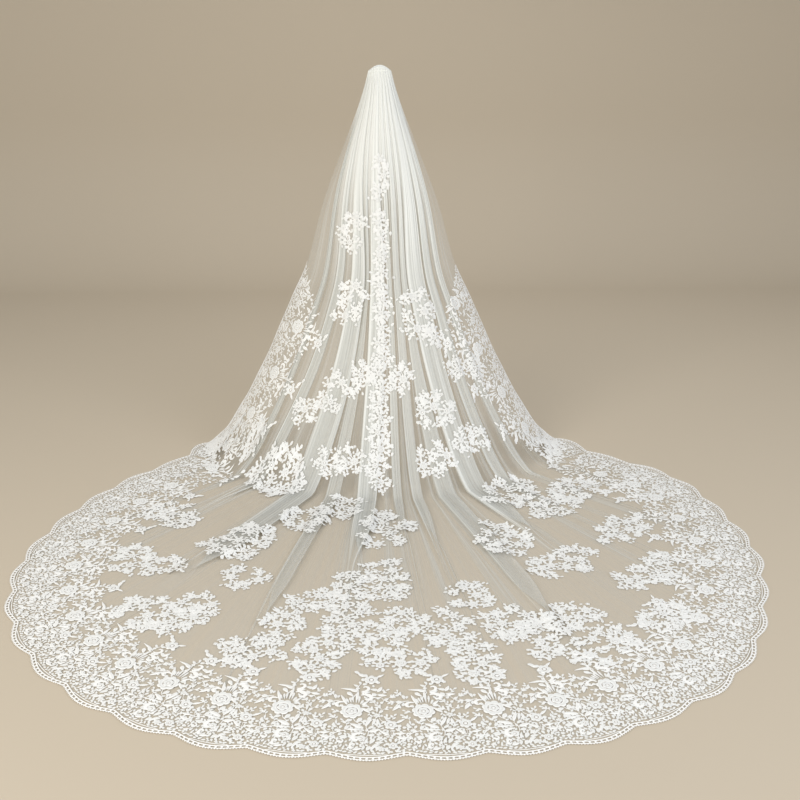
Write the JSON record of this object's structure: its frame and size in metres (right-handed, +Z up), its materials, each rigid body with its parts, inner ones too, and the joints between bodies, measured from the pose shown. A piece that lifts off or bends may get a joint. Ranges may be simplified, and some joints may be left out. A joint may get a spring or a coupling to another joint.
{
  "type": "bridal veil",
  "caption": "Cathedral bridal veil of soft ivory tulle gathered on a hair comb, with a wide scalloped floral lace border and a long train.",
  "frame": {"origin": "the middle of the comb, where it sits in the hair at the back of the head", "axes": "+Z up, +Y the way the wearer faces, the train runs to -Y, +X to the wearer's right"},
  "size_m": [2.7448, 2.2958, 1.684],
  "materials": {
    "tulle": "soft sheer nylon tulle, hexagonal net, matte",
    "lace": "corded floral embroidery lace, satin-stitched, matte",
    "comb": "clear moulded acetate, smooth"
  },
  "bodies": {
    "root": {"comb": "comb", "tulle_fall": "tulle", "tulle_train": "tulle", "lace_hem": "lace", "lace_side_left": "lace", "lace_side_right": "lace", "lace_column": "lace", "spray_fall_01": "lace", "spray_fall_02": "lace", "spray_fall_03": "lace", "spray_fall_04": "lace", "spray_fall_05": "lace", "spray_fall_06": "lace", "spray_fall_07": "lace", "spray_fall_08": "lace", "spray_train_01": "lace", "spray_train_02": "lace", "spray_train_03": "lace", "spray_train_04": "lace", "spray_train_05": "lace", "spray_train_06": "lace", "spray_train_07": "lace", "spray_train_08": "lace", "spray_train_09": "lace", "spray_train_10": "lace", "spray_train_11": "lace", "spray_train_12": "lace", "spray_train_13": "lace", "spray_train_14": "lace", "spray_train_15": "lace"}
  },
  "joints": []
}
